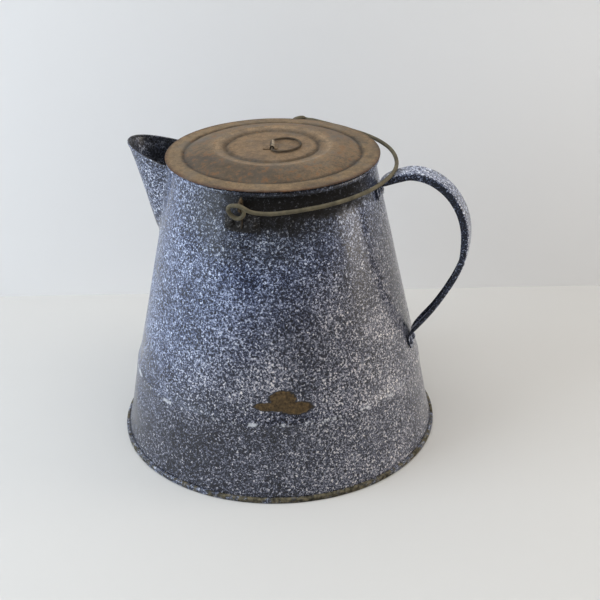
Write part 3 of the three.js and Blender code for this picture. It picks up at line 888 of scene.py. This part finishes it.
def spout_point(along, z, inset):
    """Point of the spout sheet; along runs -1 to 1 from side edge to side edge."""
    half_width = spout_half_width(z) - inset
    edge_radius = wall_radius(z) + SPOUT_CLEARANCE
    edge_x = math.sqrt(edge_radius**2 - half_width**2)
    straight_keel = KEEL_RADIUS_LOW + KEEL_SLOPE * (z - SPOUT_FOOT_Z)
    keel = max(straight_keel, edge_radius + 0.9) - inset * 0.8
    far = abs(along)
    x = keel - max(keel - edge_x, 0.05) * far * far
    y = math.copysign(half_width * ((1 + SPOUT_FULLNESS) * far - SPOUT_FULLNESS * far * far), along)
    return np.array((-x, y, z))


def lip_drop(along):
    """How far the lip lies below its tip: it falls from the tip to the roots at the rim."""
    return (SPOUT_TIP_Z - SPOUT_LIP_ROOT_Z) * abs(along) ** SPOUT_LIP_BEND


def spout_ring(up, lift, outer, inner):
    """One closed row of the spout: a soft weld on the pot at each side, the outside, then the inside."""

    def at(along, inset):
        top = SPOUT_TIP_Z - lip_drop(along)
        return spout_point(along, lerp(SPOUT_FOOT_Z + 0.1, top, up) + lift, inset)

    dense = np.array([at(a, outer) for a in np.linspace(-1, 1, 361)])
    length = lengths_along(dense)[-1]
    weld = min(WELD_WIDTH, 0.3 * length)
    skin = points_at(dense, np.linspace(weld, length - weld, SPOUT_COLUMNS))

    def side(edge, start, sign):
        z = edge[2]
        radius = wall_radius(z)
        angle = math.atan2(edge[1], edge[0])

        def on_wall(distance, lift_off):
            a = angle - sign * distance / radius
            return np.array(((radius + lift_off) * math.cos(a), (radius + lift_off) * math.sin(a), z))

        end = on_wall(weld, WELD_LIFT)
        corner = on_wall(0, WELD_LIFT)
        bend = [lerp(lerp(start, corner, t), lerp(corner, end, t), t) for t in np.linspace(0.1, 1, 9)]
        return [*bend, on_wall(weld + 1.5, -0.15), on_wall(weld + 3, -0.6)]

    left = side(dense[0], skin[0], -1)[::-1]
    right = side(dense[-1], skin[-1], 1)
    inside = [at(a, inner) for a in np.linspace(1, -1, SPOUT_COLUMNS)]

    def sunk(point):
        flat = np.array((point[0], point[1], 0))
        return point - flat / np.linalg.norm(flat) * 1.2

    return [*left, *skin, *right, sunk(inside[0]), *inside, sunk(inside[-1])]


def build_spout(material, inside_material):
    """The spout's sheet, closed at the top by a rolled lip, its inner faces stained."""
    bead, middle = 1.05, 0.35
    heights = [*np.linspace(0, 0.12, 10), *np.linspace(0.14, 0.97, 44)]
    rows = [(up, 0, 0, SPOUT_SHEET) for up in heights]
    for turn in (-50, -35, -20, -5, 10, 25, 40, 55, 68, 80, 88):
        half = bead * math.cos(math.radians(turn))
        lift = bead * (math.sin(math.radians(turn)) - 1)
        rows.append((1, lift, middle - half, middle + half))
    spout = loft("spout", [spout_ring(*row) for row in rows], crease=50)
    dress(spout, material, "pot", "speckled_enamel", "spout_shell")
    spout.data.materials.append(inside_material)
    for face in spout.data.polygons:
        if face.normal.x > 0.02:
            face.material_index = 1


# ---- Strap handle ----


def tab_stations(standoff, rows):
    """Stations of a flat tab that lies on the cone, from (z, width) rows."""
    return [(cone_radius(z) + standoff, z, TAB_DEPTH, width) for z, width in rows]


def strap_stations():
    """Outer face of the strap in the XZ plane as (x, z, flange depth, width)."""
    top_tab = tab_stations(TOP_TAB_STANDOFF, [(219.5, 19), (222.5, 20), (226, 20), (229, 20)])
    bend = [
        (89.4, 232.6, 2.6, 20),
        (92.6, 236.6, 5.0, 20),
        (98, 240.2, 6.2, 20),
        (106, 243.3, STRAP_DEPTH, 20),
        (115.4, 245.8, STRAP_DEPTH, 20),
        (126.8, 244.9, STRAP_DEPTH, 20),
        (138, 240.6, STRAP_DEPTH, 20),
        (149.7, 231.4, STRAP_DEPTH, 20),
        (159, 217.8, STRAP_DEPTH, 20),
        (164.2, 201.5, STRAP_DEPTH, 20),
        (164.9, 186.5, 6.2, 20),
        (162.8, 171.2, 5.4, 19.6),
        (157.2, 156.3, 4.6, 19.2),
        (148.9, 140.2, 4.1, 19),
        (138.2, 122.6, 3.9, 19),
        (126, 106.2, 3.8, 19),
        (121.3, 100.4, 2.8, 19),
    ]
    return top_tab + bend + tab_stations(LOW_TAB_STANDOFF, [(96.5, 19), (92, 19), (87, 18)])


def channel_outline(depth, width):
    """Half-rounded channel as (across, inward) points: outer face, flange, inner face, flange."""
    half = width / 2
    corner = min(2.4, depth * 0.75)
    tip = STRAP_SHEET / 2
    inner = max(corner - STRAP_SHEET, 0.25)
    right = arc((half - corner, corner), corner, -90, 0, 6)
    right += arc((half - tip, depth - tip), tip, 10, 170, 4)
    inside = arc((half - STRAP_SHEET - inner, STRAP_SHEET + inner), inner, 0, -90, 4)
    right += [(u, min(v, depth - 0.1)) for u, v in inside]
    left = [(-u, v) for u, v in reversed(right)]
    return [(0, 0), *right, (0, STRAP_SHEET), *left]


def build_handle(material):
    """The strap, its channel swept along the stations."""
    stations = smooth(strap_stations(), 7)
    rings = []
    for (x, z, depth, width), (tx, tz) in zip(stations, directions(stations[:, :2])):
        outline = channel_outline(depth, width)
        rings.append([(x + deep * tz, across, z - deep * tx) for across, deep in outline])
    strap = loft("strap", rings, crease=60)
    dress(strap, material, "pot", "speckled_enamel", "strap_handle")


# ---- Ears and rivets ----


def ear_plate():
    """Riveted plate lying on the cone, rounded at its edges and cut round at its corners."""
    low_z, high_z = EAR_PLATE_Z
    half_angle = EAR_PLATE_HALF_WIDTH / cone_radius(225)
    rings = []
    for share in np.linspace(-1, 1, 41):
        angle = -math.pi / 2 + half_angle * share
        trim = EAR_CORNER_TRIM * abs(share) ** 3
        rim = EAR_SHEET * (0.25 if abs(share) > 0.99 else 0.5)
        middle = EAR_SHEET / 2
        section = arc((low_z + trim + rim, middle), rim, 270, 90, 8)
        section += arc((high_z - trim - rim, middle), rim, 90, -90, 8)
        ring = []
        for z, lift in section:
            radius = cone_radius(z) + GAP + lift
            ring.append((radius * math.cos(angle), radius * math.sin(angle), z))
        rings.append(ring)
    return loft("ear_plate", rings)


def ear_fin():
    """Fin standing square to the pot, its lug drilled for the bail, its top end curled."""
    outline = [(cone_radius(221) + 0.8, 221), (91.9, 222.2), (90.4, 228.5), (89.9, 233)]
    outline += arc(EAR_HOLE, LUG_RADIUS, -125, 95, 22)
    outline += [(90.4, 246.6), (88.4, 246.8), (88.3, 245.2)]
    outline += [(cone_radius(242.5) + 0.6, 242.5), (cone_radius(232) + 0.6, 232)]
    hole = arc(EAR_HOLE, EAR_HOLE_RADIUS, 0, 345, 23)
    # The outline's x becomes -Y and its y becomes +Z.
    place = Matrix(((0, 0, -1, 0), (-1, 0, 0, 0), (0, 1, 0, 0), (0, 0, 0, 1)))
    return flat_piece("ear_fin", [outline, hole], FIN_THICKNESS, 0.35, place)


def build_ears(material):
    """Both ears; the back one is the front one turned round."""
    for side, turn in (("front", 0), ("back", math.pi)):
        ear = joined(f"ear_{side}", [ear_plate(), ear_fin()])
        ear.data.transform(Matrix.Rotation(turn, 4, "Z"))
        dress(ear, material, "pot", "worn_steel", f"bail_ear_{side}")


def rivet(name, stack):
    """Domed rivet along Z, its head above the stacked sheets and its tail inside the pot."""
    under, over = -WALL - GAP, stack + 0.2
    dome = arc((0, over - 1.6), 3.65, 24, 88, 12)
    head = [(RIVET_HEAD_RADIUS, over)] + [(min(r, RIVET_HEAD_RADIUS), max(z, over)) for r, z in dome]
    button = arc((0, under + 1.2), 3.0, -88, -30, 8)
    tail = [(min(r, RIVET_TAIL_RADIUS), min(z, under)) for r, z in button]
    shank = [(RIVET_SHANK_RADIUS, under), (RIVET_SHANK_RADIUS, over)]
    return revolve(name, tail + shank + head, around=32, crease=50)


def build_rivets(pot_material, ear_material):
    """Every rivet, at its angle round the pot and its height."""
    tabs = (
        ("top", TOP_TAB_RIVET_Y, TOP_TAB_RIVET_Z, TOP_TAB_STACK),
        ("low", LOW_TAB_RIVET_Y, LOW_TAB_RIVET_Z, LOW_TAB_STACK),
    )
    sides = (("front", -1), ("back", 1))
    spots = {}
    for tab, shift, z, stack in tabs:
        for side, sign in sides:
            spots[f"handle_rivet_{tab}_{side}"] = (sign * shift / cone_radius(z), z, stack)
    for side, sign in sides:
        for hand, shift in (("left", -EAR_RIVET_X), ("right", EAR_RIVET_X)):
            angle = sign * (math.pi / 2 - shift / cone_radius(EAR_RIVET_Z))
            spots[f"ear_rivet_{side}_{hand}"] = (angle, EAR_RIVET_Z, EAR_STACK)
    for node, (angle, z, stack) in spots.items():
        on_handle = node.startswith("handle")
        piece = rivet(node.replace("rivet", "stud"), stack)
        piece.data.transform(cone_place(angle, z))
        material = pot_material if on_handle else ear_material
        dress(piece, material, "pot", "speckled_enamel" if on_handle else "worn_steel", node)


# ---- Bail ----


def eye_loop(side, start, settled, end, lift):
    """Centre line of one end loop, its first quarter lifted outwards; side is -1 in front, 1 behind."""
    points = []
    for turn in np.arange(start, end + 0.1, 15):
        y = side * lerp(MAIN_WIRE_Y, EAR_HOLE[0], float(smoothstep(turn, start, settled)))
        a = math.radians(turn)
        radius = EYE_RADIUS + lift * (1 - float(smoothstep(turn, start, start + 95)))
        points.append((radius * math.cos(a), y, radius * math.sin(a)))
    return points


def build_bail(material):
    """The bow from ear to ear with its two end loops."""
    bow = [  # (x, y away from the middle, z in front, z behind)
        (12, 97.6, 3.2, 3.2),
        (24, 93.4, 0.6, 2.9),
        (38, 88.2, 0.7, 2.3),
        (53, 80.6, 1.4, 2.4),
        (68, 70.6, 2.0, 2.9),
        (82, 57.2, 2.7, 3.4),
        (93, 42, 3.3, 3.8),
        (100.5, 25, 3.9, 4.1),
        (104.4, 8, 4.2, 4.2),
    ]
    front = [(3.6, -MAIN_WIRE_Y, 8.4), (7.4, -99.2, 6.6)]
    front += [(x, -y, front_z) for x, y, front_z, _ in bow]
    back = [(x, y, back_z) for x, y, _, back_z in bow[::-1]] + [(7.2, 99.4, 2.7)]
    front_loop = eye_loop(-1, 92, 232, 448, EYE_LIFT)[::-1]
    back_loop = eye_loop(1, 34, 114, 334, 0)
    centres = front_loop + front + back + back_loop
    bail = wire("bail", even(smooth(centres, 10), 1.1), BAIL_WIRE_RADIUS)
    lean = Matrix.Rotation(math.atan2(EYE_RISE, EAR_HOLE[0]), 4, "X")
    bail.data.transform(Matrix.Translation(Vector((EYE_SHIFT_X, 0, EAR_HOLE[1])) * MM) @ lean)
    dress(bail, material, "bail", "steel_wire", "bail_wire")


# ---- Lid ----


def build_lid(material):
    """The pressed disc, from brim to middle, and the collar under it."""
    rim = 0.6
    brim = [(LID_RADIUS - rim, 0), (82, 0.4), (75.3, 0.7), (73.0, -0.1), (71.0, 0.6), (66, 2.6)]
    dome = [(58, -0.4), (51, 0.65), (48.5, 0.85), (46.5, 0.3), (41, -0.1), (38, -1.3), (35.5, -0.1)]
    dome += [(33, 0), (20, 0), (0.4, 0)]
    knots = [(r, BRIM_Z + rise) for r, rise in brim] + [(r, LID_FACE_Z + rise) for r, rise in dome]
    top = smooth(knots, 8).tolist()
    under = [(r, z - LID_SHEET) for r, z in top[::-1]]
    edge = arc((LID_RADIUS - rim, BRIM_Z - rim), rim, -90, 75, 8)

    def bent(point):
        x, y, z = point
        outwards = float(smoothstep(math.hypot(x, y), 60, 80))
        sink = 0.18 * (1 + ripple(point, 40, 1.7)) + 0.08 * (1 + ripple(point, 14, 6.1))
        return x, y, z - sink * outwards

    lid = revolve("lid", [*under, *edge, *top], shape=bent)
    dress(lid, material, "lid", "aged_tinplate", "lid_disc")

    inner = COLLAR_RADIUS - LID_SHEET
    half = LID_SHEET / 2
    outline = [(inner, COLLAR_TOP), (COLLAR_RADIUS, COLLAR_TOP), (COLLAR_RADIUS, COLLAR_FOOT + half)]
    outline += arc((inner + half, COLLAR_FOOT + half), half, 0, -180, 6)
    collar = revolve("lid_skirt", outline)
    dress(collar, material, "lid", "aged_tinplate", "lid_collar")


def lid_middle():
    """Matrix that places the clip and the ring on the lid's face."""
    place = Vector((*RING_PLACE, LID_FACE_Z)) * MM
    return Matrix.Translation(place) @ Matrix.Rotation(RING_TURN, 4, "Z")


def build_clip(material, foot_material, shade_material):
    """Strip folded over the ring's straight side, with a foot on the lid at each side of it.

    The arch is painted pale as a highlight, and painted dark as shade on its side away from the ring; the
    feet look like the lid.
    """
    left, right = CLIP_FEET_X
    inner = RING_WIRE_RADIUS + 0.5
    outer = inner + CLIP_SHEET
    top = RING_HEIGHT + 0.3
    over_foot = GAP + CLIP_SHEET
    outline = [(left, GAP), (-inner, GAP), *arc((0, top), inner, 180, 0, 12), (inner, GAP), (right, GAP)]
    outline += [(right, over_foot), (outer, over_foot), *arc((0, top), outer, 0, 180, 12)]
    outline += [(-outer, over_foot), (left, over_foot)]
    stand = Matrix.Rotation(math.pi / 2, 4, "X")
    clip = flat_piece("ring_clip", [outline], CLIP_WIDTH, 0.12, lid_middle() @ stand)
    dress(clip, material, "lid", "aged_tinplate", "lid_clip")
    clip.data.materials.append(foot_material)
    clip.data.materials.append(shade_material)
    # Faces on the arch's side away from the ring take the painted shade.
    to_clip = lid_middle().inverted()
    for face in clip.data.polygons:
        across = (to_clip @ face.center).x / MM
        if abs(across) > outer + 0.15:
            face.material_index = 1
        elif across < -0.7:
            face.material_index = 2


def build_ring(material):
    """The lid's ring: a straight side in the clip and a bow, its two ends meeting in the clip."""
    outline = [(0, 0.5), (0, 6), (0.1, 10.6), (1.6, 13.4), (6, 16.4), (12, 17.2), (18, 14.4), (22, 8.6)]
    outline += [(23, 1.5), (21, -5.8), (16.4, -11.6), (10.4, -15), (5, -15.2), (1.4, -13), (0.1, -10.2)]
    outline += [(0, -6), (0, -0.5)]
    path = even(smooth([(x, y, RING_HEIGHT) for x, y in outline], 10), 0.7)
    ring = wire("ring", path, RING_WIRE_RADIUS, sides=14)
    ring.data.transform(lid_middle())
    dress(ring, material, "ring", "steel_wire", "lid_ring")


# ---- Room, light and camera ----

VIEW_TURN = math.radians(15)  # the camera stands this far round from -Y towards +X
CAMERA_DOWN = math.radians(26.81)
CAMERA_ROLL = math.radians(-1.07)
CAMERA_PLACE = Vector((0.2561, -0.8779, 0.5770))
CAMERA_LENS = 70.3
CAMERA_SENSOR = 36
WALL_BEHIND = 0.25
WALL_HEIGHT = 3
ROOM_REACH = 4
LIGHT_TARGET = Vector((0, 0, 0.13))


def build_camera():
    """A camera at the photograph's place and angle."""
    data = bpy.data.cameras.new("camera")
    data.sensor_width = CAMERA_SENSOR
    data.lens = CAMERA_LENS
    camera = added("camera", data)
    turn = Matrix.Rotation(VIEW_TURN, 4, "Z")
    tilt = Matrix.Rotation(math.pi / 2 - CAMERA_DOWN, 4, "X")
    roll = Matrix.Rotation(CAMERA_ROLL, 4, "Z")
    camera.matrix_world = Matrix.Translation(CAMERA_PLACE) @ turn @ tilt @ roll
    bpy.context.scene.camera = camera


def plain_surface(name, colour):
    """A matt surface for the room."""
    shader = Shader(name)
    shader.set(Base_Color=(*colour, 1), Roughness=0.7, Specular_IOR_Level=0.2)
    return shader


def plane(name, corners, material):
    """One flat face of the room."""
    mesh = bpy.data.meshes.new(name)
    mesh.from_pydata(corners, [], [(0, 1, 2, 3)])
    mesh.materials.append(material)
    added(name, mesh)


def see_through_behind(shader):
    """Makes a surface clear from behind, so that the pot can be seen from every side."""
    output = shader.tree.nodes["Material Output"]
    back = shader.add("ShaderNodeNewGeometry").outputs["Backfacing"]
    clear = shader.add("ShaderNodeBsdfTransparent").outputs["BSDF"]
    choice = shader.add("ShaderNodeMixShader", {0: back, 1: shader.surface.outputs["BSDF"], 2: clear})
    shader.tree.links.new(choice.outputs["Shader"], output.inputs["Surface"])


def build_room():
    """A pale floor with a pale wall square to the view, a little way behind the pot."""
    floor = plain_surface("pale_floor", (0.57, 0.560, 0.540))
    square = ((-1, -1), (1, -1), (1, 1), (-1, 1))
    plane("floor", [(ROOM_REACH * x, ROOM_REACH * y, 0) for x, y in square], floor.material)
    wall = plain_surface("pale_wall", (0.755, 0.750, 0.745))
    see_through_behind(wall)
    turn = Matrix.Rotation(VIEW_TURN, 4, "Z")
    upright = ((-1, 0), (1, 0), (1, WALL_HEIGHT), (-1, WALL_HEIGHT))
    corners = [turn @ Vector((ROOM_REACH * x, WALL_BEHIND, z)) for x, z in upright]
    plane("wall", corners, wall.material)


def area_light(name, azimuth, height, distance, size, power, colour):
    """A soft light aimed at the pot; azimuth is round from the camera, in degrees, rightwards."""
    data = bpy.data.lights.new(name, "AREA")
    data.shape = "RECTANGLE"
    data.size, data.size_y = size
    data.energy = power
    data.color = colour
    light = added(name, data)
    turn = VIEW_TURN + math.radians(azimuth)
    place = Vector((math.sin(turn) * distance, -math.cos(turn) * distance, height))
    aim = (LIGHT_TARGET - place).to_track_quat("-Z", "Y")
    light.matrix_world = Matrix.Translation(place) @ aim.to_matrix().to_4x4()


def build_light():
    """A cool window on the left, a soft ceiling, a weak warm fill on the right and a pale surround."""
    world = bpy.data.worlds.new("world")
    bpy.context.scene.world = world
    world.use_nodes = True
    background = world.node_tree.nodes["Background"]
    background.inputs["Color"].default_value = (0.95, 0.97, 1.0, 1)
    background.inputs["Strength"].default_value = 0.30
    area_light("window", -72, 0.75, 1.5, (1.2, 1.2), 24, (0.79, 0.89, 1.0))
    area_light("ceiling", 10, 2.0, 0.25, (1.8, 1.8), 26, (1.0, 0.99, 0.97))
    area_light("fill", 90, 0.5, 1.6, (1.2, 1.0), 18, (1.0, 0.92, 0.82))
    bpy.context.scene.view_settings.view_transform = "Standard"


def main():
    """Builds every piece, dresses the rim wire, which is left as the CAD makes it, and sets the room."""
    build_camera()
    strap_enamel = handle_enamel()
    ear_metal = ear_steel()
    tin = aged_tin()
    olive_wire = dull_wire("olive_wire", (0.180, 0.155, 0.098), (0.062, 0.052, 0.032))
    brown_wire = dull_wire("brown_wire", (0.110, 0.078, 0.045), (0.028, 0.019, 0.011))
    build_body(body_enamel())
    build_bottom_pan(worn_seam())
    build_spout(spout_enamel(), stained_enamel())
    build_handle(strap_enamel)
    build_ears(ear_metal)
    build_rivets(strap_enamel, ear_metal)
    build_bail(olive_wire)
    build_lid(tin)
    build_clip(highlight_tin(), tin, brown_wire)
    build_ring(brown_wire)
    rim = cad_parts["rim_wire"]
    rim.data.materials.clear()
    rim.data.materials.append(olive_wire)
    build_room()
    build_light()


main()
